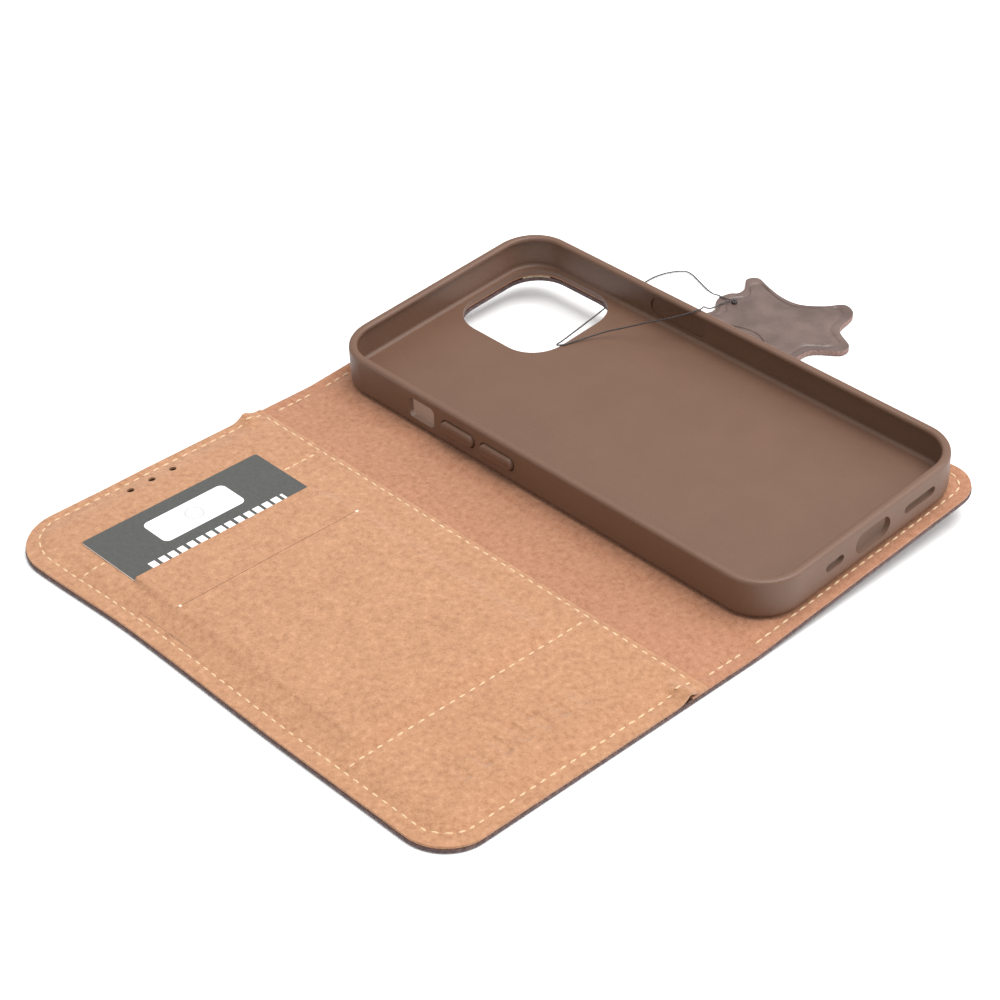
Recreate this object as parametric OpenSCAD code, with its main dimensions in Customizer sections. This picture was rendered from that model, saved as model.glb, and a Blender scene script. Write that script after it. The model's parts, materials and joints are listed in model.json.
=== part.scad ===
// Book-type phone wallet case in leather and suede, lying open.
// The front cover and the spine lie flat on z = 0. The back panel, which carries the
// phone tray, leans up a few degrees about its fold. Millimetres, +Z up, +Y towards the
// top of the phone, +X from the front cover towards the tray.

/* [Cover] */
// Length of the case along the spine
cover_l = 156; // [150:0.5:165]
// Width of the front cover from its fold to its free edge
front_w = 82.6; // [80:0.1:90]
// Width of the back panel from its fold to its outer edge
back_w = 84.2; // [82:0.1:92]
// Distance between the two fold lines of the spine
spine_w = 15.6; // [15.2:0.1:20]
// Radius of the four outer corners
cover_r = 9; // [5:0.5:14]
// Lean of the back panel when the case lies open, in degrees
back_lean = 5; // [0:0.5:12]

/* [Layers] */
// Thickness of the outer leather
leather_t = 1.2; // [1:0.1:1.6]
// Thickness of a stiffening board
board_t = 0.5; // [0.4:0.1:0.8]
// Thickness of the radio shielding foil
foil_t = 0.1; // [0.1:0.05:0.2]
// Thickness of the ply behind the card slots
backing_t = 0.2; // [0.2:0.1:0.4]
// Thickness of the suede lining
suede_t = 0.6; // [0.5:0.1:0.9]
// Thickness of the tape between the lining and the tray
tape_t = 0.3; // [0.2:0.1:0.5]

/* [Tray] */
// Outer width of the phone tray
tray_w = 74.6; // [74:0.1:76]
// Outer length of the phone tray
tray_l = 150; // [149:0.1:151]
// Outer height of the phone tray
tray_h = 10.7; // [10:0.1:12]
// Thickness of the tray floor
tray_floor = 1.5; // [1:0.1:2]
// Thickness of the tray wall
tray_wall = 1.5; // [1.4:0.1:1.8]
// Reach of the lip that holds the phone in
lip_reach = 0.8; // [0.4:0.1:1]
// Height of that lip
lip_h = 1.3; // [1:0.1:1.6]
// Outer corner radius of the tray
tray_r = 12; // [10:0.5:14]
// Distance from the back fold to the middle of the tray
tray_mid = 43.2; // [43:0.1:44]

/* [Camera hole] */
// Size of the camera hole, square
camera_size = 33.4; // [30:0.2:35]
// Corner radius of the camera hole
camera_r = 10; // [6:0.5:12]
// Middle of the camera hole across the tray
camera_x = 17.9; // [16:0.1:18.4]
// Middle of the camera hole along the tray
camera_y = 55.1; // [54:0.1:56]
// How much wider the covers' hole is than the tray's, on every side
hole_step = 0.8; // [0:0.1:1]

/* [Keys and ports] */
// Length of a volume key
volume_l = 11.6; // [10:0.2:12]
// Length of the power key
power_l = 17.6; // [15:0.2:19]
// Height of a key
key_h = 3.6; // [3:0.1:4]
// Travel of a key
key_travel = 0.35; // [0.2:0.05:0.4]
// Middle of the upper volume key along the tray
volume_up_y = 27; // [26:0.5:28]
// Middle of the lower volume key along the tray
volume_down_y = 13; // [12:0.5:14]
// Middle of the power key along the tray
power_y = 19.8; // [18:0.2:22]
// Length of the ring switch hole
switch_l = 9.2; // [8:0.2:10]
// Middle of the ring switch hole along the tray
switch_y = 40.4; // [40:0.2:41]
// Corner radius of the ring switch hole
switch_r = 1.4; // [0.8:0.1:2.4]
// Width of the charging port hole
port_w = 12.6; // [11:0.2:14]
// Height of the charging port and switch holes
port_h = 5.8; // [5.4:0.1:6]

/* [Pocket and card] */
// Width of the card
card_w = 54; // [53:0.5:54]
// Length of the card
card_l = 85.6; // [85:0.1:86]
// Thickness of the card
card_t = 0.35; // [0.3:0.05:0.5]
// Middle of the card slots, from the front fold
slot_mid = 42.7; // [42:0.1:44]
// Length of a card slot
slot_l = 56; // [55:0.5:58]
// Upper card slot, from the middle of the cover
slot_1_y = 41.3; // [40:0.1:43]
// Lower card slot, from the middle of the cover
slot_2_y = 25.4; // [24:0.1:28]
// Upper edge of the card, from the middle of the cover
card_top = 62.1; // [58:0.1:68]
// Seam above the slots
upper_seam_y = 52.2; // [50:0.1:54]
// Seam below the slots
lower_seam_y = -42.3; // [-44:0.1:-42]
// Speaker holes, from the middle of the cover
speaker_y = 71.4; // [69:0.1:72]
// Middle speaker hole, from the front fold
speaker_mid = 40.9; // [38:0.1:44]
// Distance between speaker holes
speaker_pitch = 6.6; // [5:0.1:8]
// Diameter of a speaker hole
speaker_d = 2; // [1.5:0.1:2.5]

/* [Stitching] */
// Distance from an edge to its seam
seam_in = 3.2; // [2.8:0.1:3.4]
// Diameter of the thread
thread_d = 0.5; // [0.3:0.1:0.6]

/* [Hang tag] */
// Thickness of the tag
tag_t = 1.5; // [1:0.1:2]
// Turn of the tag on the table, in degrees
tag_turn = 6; // [0:1:12]
// Diameter of the cord
cord_d = 0.4; // [0.3:0.05:0.6]

/* [Hidden] */

// The folds turn about the middle of the leather and lining at the spine.
fold_gap = 1;
fold_z = (leather_t + suede_t) / 2;
case_w = front_w + spine_w + back_w * cos(back_lean) + fold_z * sin(back_lean);
front_fold_x = front_w - case_w / 2;
back_fold_x = front_fold_x + spine_w;

// Levels above the table, from the leather upwards.
board_top = leather_t + board_t;
foil_top = board_top + foil_t;
backing_top = foil_top + backing_t;
sheet_top = backing_top + suede_t;
card_z = sheet_top + 0.03;
pocket_z = card_z + card_t + 0.05;
lining_top = board_top + suede_t;
tray_z = lining_top + tape_t;

// Steps in from the edge: the seam's flat strip, then the slope up to the boards.
flat_in = 3.8;
rise_in = 7;
board_in = 6.5;
lip_u = 1;

// Tray levels, above its underside.
cavity_w = tray_w - 2 * tray_wall;
cavity_l = tray_l - 2 * tray_wall;
key_z = 5.6;
skin_t = 0.6;
key_proud = 0.8;

// Hang tag: the cord's hole in the world, and half of the outline from the neck round to
// the tail, as distances across and along the tag from that hole.
tag_hole = [119.4, 29];
tag_half = [[0, 5], [3.4, 3.9], [5.2, 2.2], [8.4, 2.3], [12.6, 4.8], [15.4, 2.6], [13.1, -2.6],
    [11, -8.6], [11, -14.4], [14.6, -20], [18.8, -23.8], [17.6, -27.4], [14.6, -29], [8.6, -29.6],
    [5.6, -31.4], [2.2, -36.4], [0, -37.2]];

// The cord's route: from the knot over the tray's outer rim, down through the camera hole,
// out under the back panel, and round on the table back to the knot.
cord_route = [[118.6, 29.8, 2.1], [117.4, 30.4, 1.9], [116, 30.7, 1.9], [114.6, 30.3, 2.4],
    [108, 26.2, 6.2], [99, 20.3, 12.1], [92, 15.8, 17.2], [88.6, 13.6, 19.9],
    [87, 12.6, 20.7], [85.4, 12.4, 20.8], [83, 14.7, 19.5], [79.8, 19.2, 17.3], [77.2, 23.2, 15.6],
    [74, 28.2, 13.2], [71, 31.8, 11.7], [67, 34.9, 10.2], [63.4, 36.9, 9.4], [61.6, 37.6, 9.2],
    [60.4, 38.5, 9.1], [60.2, 39.3, 8.8], [61.2, 40.1, 8.4], [63.4, 40.8, 7.9], [70, 42.6, 7.2],
    [77, 44.5, 6.5], [84, 46.2, 6.1], [91, 47.2, 6.7], [96, 48.6, 5.8], [102, 51.2, 2.6],
    [107, 53.7, 0.7], [112, 55.2, 0.3], [116.8, 55.1, 0.3], [121, 53.7, 0.3], [123.8, 51.5, 0.3],
    [124, 48.8, 0.3], [122.6, 44.8, 0.3], [121, 40.4, 0.3], [119.8, 37.2, 0.8], [119, 34.8, 1.7],
    [118.8, 32.6, 1.9], [119.2, 30.3, 2]];

// ---- shapes shared by the pieces ----

// A rectangle with round corners, centred.
module round_rect(w, l, r) {
    square([w - 2 * r, l], center = true);
    square([w, l - 2 * r], center = true);
    for (x = [-1, 1], y = [-1, 1])
        translate([x * (w / 2 - r), y * (l / 2 - r)]) circle(r, $fn = 32);
}

// One cover's outline: u runs from its fold to its outer edge, whose corners are round.
module cover_outline(u0, u1, inset) {
    r = max(cover_r - inset, 1);
    half = cover_l / 2 - inset;
    end = u1 - inset;
    translate([u0, -half]) square([end - r - u0, 2 * half]);
    translate([u0, r - half]) square([end - u0, 2 * (half - r)]);
    for (y = [-1, 1])
        translate([end - r, y * (half - r)]) circle(r, $fn = 32);
}

module cover_plate(u0, u1, inset, z, t) {
    translate([0, 0, z]) linear_extrude(t) cover_outline(u0, u1, inset);
}

// Lining that lies on the leather at the edge and rises over what is under it.
module lining_shell(u0, u1, rise) {
    difference() {
        union() {
            cover_plate(u0, u1, 0, leather_t, suede_t);
            hull() {
                cover_plate(u0, u1, flat_in, leather_t, suede_t);
                cover_plate(u0, u1, rise_in, leather_t, suede_t + rise);
            }
        }
        hull() {
            cover_plate(u0 - 1, u1, flat_in + 1, leather_t - 0.1, 0.11);
            cover_plate(u0 - 1, u1, rise_in - 0.8, leather_t - 0.1, rise + 0.1);
        }
    }
}

// The seam strip that follows a cover's edge, on the face whose lower side is at z.
module edge_seam(u0, u1, z) {
    translate([0, 0, z]) linear_extrude(thread_d / 2) difference() {
        cover_outline(u0, u1, seam_in - thread_d / 2);
        cover_outline(u0 - 1, u1, seam_in + thread_d / 2);
    }
}

// Groove for that seam in the outer face of the leather.
module edge_groove(u0, u1) {
    translate([0, 0, -1]) linear_extrude(1 + thread_d / 2) difference() {
        cover_outline(u0 - 1, u1, seam_in - thread_d / 2);
        cover_outline(u0 - 2, u1, seam_in + thread_d / 2);
    }
}

module on_front() {
    translate([front_fold_x, 0, 0]) mirror([1, 0, 0]) children();
}

module on_back() {
    translate([back_fold_x, 0, fold_z]) rotate([0, -back_lean, 0]) translate([0, 0, -fold_z])
        children();
}

module on_tray() {
    on_back() translate([tray_mid, 0, tray_z]) children();
}

module camera_cut(z, t, extra = 0) {
    translate([camera_x, camera_y, z]) linear_extrude(t)
        round_rect(camera_size + 2 * extra, camera_size + 2 * extra, camera_r + extra);
}

// ---- outer leather: one hide, drawn as the three parts that its folds divide ----

module front_cover_leather() {
    color("#54392f") on_front() difference() {
        cover_plate(fold_gap, front_w, 0, 0, leather_t);
        edge_groove(fold_gap, front_w);
        for (i = [-1 : 1]) speaker_hole(i);
    }
}

module spine_leather() {
    color("#54392f") spine_strip(0, leather_t, cover_l);
}

module back_cover_leather() {
    color("#54392f") on_back() difference() {
        cover_plate(fold_gap, back_w, 0, 0, leather_t);
        edge_groove(fold_gap, back_w);
        translate([tray_mid, 0, 0]) camera_cut(-1, leather_t + 2, hole_step);
    }
}

module spine_strip(z, t, l) {
    translate([front_fold_x + fold_gap, -l / 2, z]) cube([spine_w - 2 * fold_gap, l, t]);
}

module speaker_hole(i) {
    translate([speaker_mid + i * speaker_pitch, speaker_y, -1]) cylinder(d = speaker_d, h = 8, $fn = 24);
}

// ---- stiffeners ----

module front_board() {
    color("#b9a98c") on_front() difference() {
        cover_plate(2.4, front_w, board_in, leather_t, board_t);
        for (i = [-1 : 1]) speaker_hole(i);
    }
}

module back_board() {
    color("#b9a98c") on_back() difference() {
        cover_plate(2.4, back_w, board_in, leather_t, board_t);
        translate([tray_mid, 0, 0]) camera_cut(0, 5, hole_step);
    }
}

module shield_foil() {
    color("#c9cbcd") on_front() difference() {
        cover_plate(9, front_w, board_in + 0.4, board_top, foil_t);
        for (i = [-1 : 1]) speaker_hole(i);
    }
}

// ---- lining and pocket ----

// A thin ply under the sheet, thicker below the slots so that a card lies level on it.
module pocket_backing() {
    color("#8d6b52") on_front() difference() {
        union() {
            cover_plate(8, front_w, rise_in, foil_top, backing_t);
            translate([slot_mid - card_w / 2 - 0.4, lower_seam_y + 1.4, backing_top])
                cube([card_w + 0.8, slot_1_y - lower_seam_y - 1.5, suede_t]);
        }
        for (i = [-1 : 1]) speaker_hole(i);
    }
}

module pocket_sheet() {
    pad_w = card_w + 0.9;
    pad_l = slot_1_y - lower_seam_y - 1.3;
    rise = backing_top - leather_t;
    color("#d9a47e") on_front() difference() {
        union() {
            lining_shell(lip_u, front_w, rise);
            hull() {
                translate([slot_mid - pad_w / 2 - 3, lower_seam_y + 0.4, backing_top])
                    cube([pad_w + 6, pad_l + 0.9, 0.1]);
                translate([slot_mid - pad_w / 2 - 0.6, lower_seam_y + 3, backing_top])
                    cube([pad_w + 1.2, pad_l - 1.7, pocket_z + suede_t - backing_top]);
            }
        }
        // the card's gap, open at the upper slot
        translate([slot_mid - pad_w / 2, lower_seam_y + 1.3, backing_top - 0.5])
            cube([pad_w, pad_l, pocket_z - backing_top + 0.5]);
        translate([slot_mid - slot_l / 2, slot_1_y - 0.1, sheet_top])
            cube([slot_l, 4, pocket_z + suede_t - sheet_top + 1]);
        // the lower slot and the round ends of both
        translate([slot_mid - slot_l / 2, slot_2_y - 0.15, pocket_z - 0.1])
            cube([slot_l, 0.3, suede_t + 1]);
        for (x = [-1, 1])
            translate([slot_mid + x * slot_l / 2, slot_2_y, backing_top - 0.5])
                cylinder(d = 1.2, h = 4, $fn = 24);
        for (i = [-1 : 1]) speaker_hole(i);
        lip_tuck_space();
    }
}

module lip_tuck_space() {
    half = cover_l / 2 - rise_in;
    translate([-1, -half, leather_t - 0.1]) cube([7.6, 2 * half, backing_top - leather_t + 0.1]);
}

// The edge of the spine's lining, glued under the lip of the pocket sheet.
module lining_tuck() {
    half = cover_l / 2 - rise_in - 0.1;
    color("#c48e70") on_front() difference() {
        translate([lip_u, -half, leather_t]) cube([5.4, 2 * half, backing_top - leather_t]);
        translate([2.3, -half - 1, 0]) cube([6, 2 * half + 2, board_top]);
    }
}

module spine_lining() {
    color("#c48e70") spine_strip(leather_t, suede_t, cover_l);
}

module back_lining() {
    color("#c48e70") on_back() difference() {
        lining_shell(fold_gap, back_w, board_t);
        translate([tray_mid, 0, 0]) camera_cut(0, 5, hole_step);
    }
}

// ---- phone tray ----

module tray_tape() {
    color("#e3e0d6") on_tray() difference() {
        translate([0, 0, -tape_t]) linear_extrude(tape_t) round_rect(tray_w - 8, tray_l - 8, tray_r - 4);
        camera_cut(-1, 3, 2);
    }
}

module phone_tray() {
    opening_w = cavity_w - 2 * lip_reach;
    opening_l = cavity_l - 2 * lip_reach;
    color("#6a4c3c") on_tray() difference() {
        linear_extrude(tray_h) round_rect(tray_w, tray_l, tray_r);
        translate([0, 0, tray_floor]) linear_extrude(tray_h - lip_h - tray_floor)
            round_rect(cavity_w, cavity_l, tray_r - tray_wall);
        translate([0, 0, tray_floor + 1]) linear_extrude(tray_h)
            round_rect(opening_w, opening_l, tray_r - tray_wall - lip_reach);
        camera_cut(-1, 5);
        wall_cut(-1, switch_y) round_rect(switch_l, port_h, switch_r);
        key_cut(-1, volume_up_y, volume_l);
        key_cut(-1, volume_down_y, volume_l);
        key_cut(1, power_y, power_l);
        // charging port, with the microphone slot and the loudspeaker slot beside it
        end_cut(0.6, port_w, port_h);
        end_cut(-13.2, 6.4, 2.4);
        end_cut(18, 11.4, 2.4);
    }
}

// A slot with round ends, as wide as w and h high, standing in the YZ plane.
module stadium(w, h) {
    square([w - h, h], center = true);
    for (x = [-1, 1]) translate([x * (w - h) / 2, 0]) circle(d = h, $fn = 32);
}

// Cuts an outline, drawn as seen from the side, through a long wall.
module wall_cut(side, y) {
    depth = tray_wall + 2.5;
    translate([side * (tray_w / 2 + 1) - (side > 0 ? depth : 0), y, key_z])
        rotate([90, 0, 90]) linear_extrude(depth) children();
}

module end_cut(x, w, h) {
    translate([x, -tray_l / 2 + 3, key_z]) rotate([90, 0, 0]) linear_extrude(5) stadium(w, h);
}

// The window for a key: a through hole in the skin and a wider pocket behind it.
module key_cut(side, y, l) {
    inner = tray_w / 2 - skin_t;
    wall_cut(side, y) stadium(l + 0.4, key_h + 0.4);
    translate([side > 0 ? inner - 2 : -inner, y, key_z])
        rotate([90, 0, 90]) linear_extrude(2) stadium(l + 2.2, key_h + 2.2);
}

// A key: a button that stands proud of the wall, on a flange that keeps it in.
module tray_key(side, y, l) {
    face = tray_w / 2 + key_proud;
    flange = tray_w / 2 - skin_t - 0.1;
    color("#62463a") on_tray() {
        translate([side > 0 ? flange - 0.1 : -face, y, key_z])
            rotate([90, 0, 90]) linear_extrude(face - flange + 0.1) stadium(l, key_h);
        translate([side > 0 ? flange - 0.4 : -flange, y, key_z])
            rotate([90, 0, 90]) linear_extrude(0.4) stadium(l + 1.6, key_h + 1.6);
    }
}

module volume_up_key() {
    tray_key(-1, volume_up_y, volume_l);
}

module volume_down_key() {
    tray_key(-1, volume_down_y, volume_l);
}

module power_key() {
    tray_key(1, power_y, power_l);
}

// ---- card ----

module shield_card() {
    color("#70706d") on_front()
        translate([slot_mid, card_top - card_l / 2, card_z]) linear_extrude(card_t)
            round_rect(card_w, card_l, 0.8);
}

// ---- thread ----

module front_edge_thread() {
    color("#f0d2a8") on_front() {
        edge_seam(lip_u, front_w, leather_t + suede_t);
        edge_seam(lip_u, front_w, 0);
    }
}

module spine_edge_thread() {
    y = cover_l / 2 - seam_in;
    end_gap = fold_gap + 0.6;
    color("#f0d2a8") for (s = [-1, 1])
        translate([front_fold_x + end_gap, s * y - thread_d / 2, leather_t + suede_t])
            cube([spine_w - 2 * end_gap, thread_d, thread_d / 2]);
}

module back_edge_thread() {
    color("#f0d2a8") on_back() {
        edge_seam(fold_gap, back_w, leather_t + suede_t);
        edge_seam(fold_gap, back_w, 0);
    }
}

module cross_seam(y) {
    color("#f0d2a8") on_front() translate([lip_u + 3.4, y - thread_d / 2, sheet_top])
        cube([front_w - rise_in - lip_u - 3.6, thread_d, thread_d / 2]);
}

// Two stretches, because the card lies over the middle of this seam.
module upper_seam_thread() {
    gap = card_w + 1;
    difference() {
        cross_seam(upper_seam_y);
        color("#f0d2a8") on_front() translate([slot_mid - gap / 2, upper_seam_y - 2, sheet_top - 1])
            cube([gap, 4, 3]);
    }
}

module lower_seam_thread() {
    cross_seam(lower_seam_y);
}

module lip_thread() {
    half = cover_l / 2 - rise_in;
    color("#f0d2a8") on_front() translate([lip_u + 1.6 - thread_d / 2, -half, sheet_top])
        cube([thread_d, 2 * half, thread_d / 2]);
}

// ---- hang tag ----

// A smooth curve through the points of a list, with n steps from each point to the next.
function along(p, i) = p[max(0, min(len(p) - 1, i))];
function curve_point(p, i, s) =
    let (a = along(p, i - 1), b = along(p, i), c = along(p, i + 1), d = along(p, i + 2))
    0.5 * (2 * b + (c - a) * s + (2 * a - 5 * b + 4 * c - d) * s * s + (3 * b - a - 3 * c + d) * s * s * s);
function smooth(p, n) = [for (i = [0 : len(p) - 2], j = [0 : n - 1]) curve_point(p, i, j / n), p[len(p) - 1]];

module tag_outline() {
    right = smooth(tag_half, 3);
    last = len(right) - 1;
    left = [for (i = [last - 1 : -1 : 1]) [-right[i][0], right[i][1]]];
    polygon(concat(right, left));
}

module at_tag() {
    translate([tag_hole[0], tag_hole[1], 0]) rotate(tag_turn) children();
}

module leather_tag() {
    color("#94827a") at_tag() linear_extrude(tag_t) difference() {
        tag_outline();
        circle(d = 2, $fn = 24);
    }
}

module tag_knot() {
    color("#222222") translate([tag_hole[0], tag_hole[1], tag_t + 0.5]) sphere(r = 1.1, $fn = 24);
}

// A round tube along the route, its rings kept from twisting from one to the next.
function unit(v) = v / norm(v);
function flatten_to(v, t) = unit(v - (v * t) * t);

module tag_cord() {
    sides = 8;
    path = smooth(cord_route, 2);
    last = len(path) - 1;
    tangent = [for (i = [0 : last]) unit(path[min(i + 1, last)] - path[max(i - 1, 0)])];
    side = [for (i = 0, v = flatten_to([0, 0, 1], tangent[0]); i <= last;
        i = i + 1, v = i <= last ? flatten_to(v, tangent[i]) : v) v];
    rings = [for (i = [0 : last], k = [0 : sides - 1])
        path[i] + cord_d / 2 * (cos(k * 360 / sides) * side[i]
            + sin(k * 360 / sides) * cross(tangent[i], side[i]))];
    walls = [for (i = [0 : last - 1], k = [0 : sides - 1])
        [i * sides + k, (i + 1) * sides + k, (i + 1) * sides + (k + 1) % sides,
            i * sides + (k + 1) % sides]];
    caps = [[for (k = [0 : sides - 1]) k], [for (k = [sides - 1 : -1 : 0]) last * sides + k]];
    color("#222222") polyhedron(rings, concat(walls, caps));
}

front_cover_leather();
spine_leather();
back_cover_leather();
front_board();
back_board();
shield_foil();
pocket_backing();
pocket_sheet();
lining_tuck();
spine_lining();
back_lining();
tray_tape();
phone_tray();
volume_up_key();
volume_down_key();
power_key();
shield_card();
front_edge_thread();
spine_edge_thread();
back_edge_thread();
upper_seam_thread();
lower_seam_thread();
lip_thread();
leather_tag();
tag_cord();
tag_knot();
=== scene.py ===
import json
import math
import random

import bmesh
import bpy
from mathutils import Matrix, Vector, noise


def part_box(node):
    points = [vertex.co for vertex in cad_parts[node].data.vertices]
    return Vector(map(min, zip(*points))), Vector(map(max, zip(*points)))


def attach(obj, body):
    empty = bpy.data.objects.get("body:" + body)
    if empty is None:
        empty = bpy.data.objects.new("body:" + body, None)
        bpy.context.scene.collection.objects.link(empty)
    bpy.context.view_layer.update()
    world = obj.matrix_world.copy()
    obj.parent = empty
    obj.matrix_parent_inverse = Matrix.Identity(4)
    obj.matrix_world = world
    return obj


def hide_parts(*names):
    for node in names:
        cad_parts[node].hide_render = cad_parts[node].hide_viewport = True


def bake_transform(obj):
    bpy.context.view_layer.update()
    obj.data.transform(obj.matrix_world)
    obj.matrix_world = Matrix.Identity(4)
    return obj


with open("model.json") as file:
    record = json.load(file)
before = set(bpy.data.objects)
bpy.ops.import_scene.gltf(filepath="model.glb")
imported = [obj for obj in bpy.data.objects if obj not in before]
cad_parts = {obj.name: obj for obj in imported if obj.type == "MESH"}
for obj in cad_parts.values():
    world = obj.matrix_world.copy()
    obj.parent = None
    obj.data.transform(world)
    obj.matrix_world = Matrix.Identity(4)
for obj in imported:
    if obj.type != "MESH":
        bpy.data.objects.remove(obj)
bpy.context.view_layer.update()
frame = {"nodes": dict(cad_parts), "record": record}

# ---- Camera and studio ----
# A pale sweep under the open case, with one broad soft light above it and a weaker one
# from the near right. The camera looks down on the near left corner with a long lens.
MM = 0.001
camera = bpy.data.objects.new("camera", bpy.data.cameras.new("camera"))
bpy.context.collection.objects.link(camera)
camera.location = (-345.2 * MM, -357.4 * MM, 363.1 * MM)
camera.rotation_euler = (math.radians(54.494), math.radians(-0.066), math.radians(-44.061))
camera.data.sensor_width = 36
camera.data.lens = 91.03
camera.data.clip_start = 0.01
camera.data.clip_end = 20
bpy.context.scene.camera = camera
bpy.context.scene.view_settings.view_transform = "Standard"


def linear(red, green, blue):
    """A colour picked on screen, 0 to 255, as the shader's own linear colour."""
    screen = (red, green, blue)
    return [((c / 255 + 0.055) / 1.055) ** 2.4 if c > 10 else c / 3295 for c in screen] + [1]


def lamp(name, place, aim, size, power):
    light = bpy.data.objects.new(name, bpy.data.lights.new(name, "AREA"))
    light.data.shape = "DISK"
    light.data.size = size
    light.data.energy = power
    light.location = place
    light.rotation_euler = (Vector(aim) - Vector(place)).to_track_quat("-Z", "Y").to_euler()
    bpy.context.collection.objects.link(light)


lamp("overhead_light", (0.15, -0.2, 1.1), (0, 0, 0), 1.0, 16)
lamp("right_light", (0.75, -0.75, 0.55), (0, 0, 0), 0.7, 4.5)
world = bpy.data.worlds.new("studio")
bpy.context.scene.world = world
world.use_nodes = True
world.node_tree.nodes["Background"].inputs["Color"].default_value = (1, 1, 1, 1)
world.node_tree.nodes["Background"].inputs["Strength"].default_value = 0.75

bpy.ops.object.select_all(action="DESELECT")
bpy.ops.mesh.primitive_plane_add(size=8, location=(0, 0, -0.0002))
floor = bpy.context.active_object
floor.name = "studio_floor"
bpy.ops.object.transform_apply(location=True, rotation=True, scale=True)
floor_paint = bpy.data.materials.new("studio_floor")
floor_paint.use_nodes = True
floor_paint.node_tree.nodes["Principled BSDF"].inputs["Base Color"].default_value = (0.93, 0.93, 0.93, 1)
floor_paint.node_tree.nodes["Principled BSDF"].inputs["Roughness"].default_value = 0.9
floor.data.materials.append(floor_paint)


# ---- Hang tag's cord ----
# A thin waxed cord, black and limp, tied in a loop: it leaves the knot on the tag, passes
# over the tray's rim and down the camera hole, and comes back from under the back cover.
CORD_ROUTE = [
    (118.6, 29.8, 2.1), (117.4, 30.4, 1.9), (116, 30.7, 1.9), (114.6, 30.3, 2.4),
    (108, 26.2, 6.2), (99, 20.3, 12.1), (92, 15.8, 17.2), (88.6, 13.6, 19.9),
    (87, 12.6, 20.7), (85.4, 12.4, 20.8), (83, 14.7, 19.5), (79.8, 19.2, 17.3), (77.2, 23.2, 15.6),
    (74, 28.2, 13.2), (71, 31.8, 11.7), (67, 34.9, 10.2), (63.4, 36.9, 9.4), (61.6, 37.6, 9.2),
    (60.4, 38.5, 9.1), (60.2, 39.3, 8.8), (61.2, 40.1, 8.4), (63.4, 40.8, 7.9), (70, 42.6, 7.2),
    (77, 44.5, 6.5), (84, 46.2, 6.1), (91, 47.2, 6.7), (96, 48.6, 5.8), (102, 51.2, 2.6),
    (107, 53.7, 0.7), (112, 55.2, 0.3), (116.8, 55.1, 0.3), (121, 53.7, 0.3), (123.8, 51.5, 0.3),
    (124, 48.8, 0.3), (122.6, 44.8, 0.3), (121, 40.4, 0.3), (119.8, 37.2, 0.8), (119, 34.8, 1.7),
    (118.8, 32.6, 1.9), (119.2, 30.3, 2),
]
CORD_D = 0.4 * MM


class Signal:
    """A shader socket that takes part in sums, so that a pattern is written as one."""

    def __init__(self, tree, socket=None):
        self.tree, self.socket = tree, socket

    def node(self, kind, settings=None, inputs=None, out=0):
        """Adds a node: its settings first, then the values or links of its sockets."""
        made = self.tree.nodes.new(kind)
        for key, value in (settings or {}).items():
            if key == "stops":
                ramp = made.color_ramp.elements
                while len(ramp) < len(value):
                    ramp.new(1)
                for stop, (place, colour) in zip(ramp, value):
                    stop.position, stop.color = place, colour
            else:
                setattr(made, key, value)
        for key, value in (inputs or {}).items():
            if isinstance(value, Signal):
                self.tree.links.new(value.socket, made.inputs[key])
            else:
                made.inputs[key].default_value = value
        return Signal(self.tree, made.outputs[out])

    def maths(self, operation, *values, clamp=False):
        settings = {"operation": operation, "use_clamp": clamp}
        return self.node("ShaderNodeMath", settings, dict(enumerate((self, *values))))

    def __add__(self, other):
        return self.maths("ADD", other)

    def __mul__(self, other):
        return self.maths("MULTIPLY", other)

    def __sub__(self, other):
        return self.maths("SUBTRACT", other)

    def __rsub__(self, other):
        return self.node("ShaderNodeMath", {"operation": "SUBTRACT"}, {0: other, 1: self})

    __radd__, __rmul__ = __add__, __mul__

    def ramp(self, low, high):
        """0 below low, 1 above high, and smooth between."""
        ends = {"interpolation_type": "SMOOTHSTEP"}
        return self.node("ShaderNodeMapRange", ends, {0: self, 1: low, 2: high, 3: 0.0, 4: 1.0})

    def tint(self, one, other):
        """The first colour where this is 0, the second where it is 1."""
        values = {0: self, 6: one, 7: other}
        return self.node("ShaderNodeMix", {"data_type": "RGBA", "clamp_factor": True}, values, out=2)

    def grain(self, size, detail=2.0, rough=0.5, out=0):
        """Noise whose patches are about this many metres across."""
        values = {"Scale": 1 / size, "Detail": detail, "Roughness": rough}
        if self.socket:
            values["Vector"] = self
        return self.node("ShaderNodeTexNoise", None, values, out=out)


def material(name, paint, **constants):
    """A principled surface: paint(place) gives what varies, the rest are the shader's own values."""
    made = bpy.data.materials.new(name)
    made.use_nodes = True
    tree = made.node_tree
    surface = tree.nodes["Principled BSDF"]
    for key, value in constants.items():
        surface.inputs[key.replace("_", " ").title().replace("Ior", "IOR")].default_value = value
    place = Signal(tree).node("ShaderNodeTexCoord", out=3)
    for key, value in paint(place).items():
        if key == "Bump":
            height, depth = value
            bump = {"Strength": 1.0, "Distance": depth, "Height": height}
            value = place.node("ShaderNodeBump", None, bump)
            key = "Normal"
        tree.links.new(value.socket, surface.inputs[key])
    return made


def waxed_black(place):
    strands = place.grain(0.25 * MM, 1)
    return {
        "Base Color": strands.ramp(0.3, 0.7).tint(linear(30, 26, 25), linear(78, 71, 68)),
        "Bump": (strands, 0.06 * MM),
    }


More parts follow.
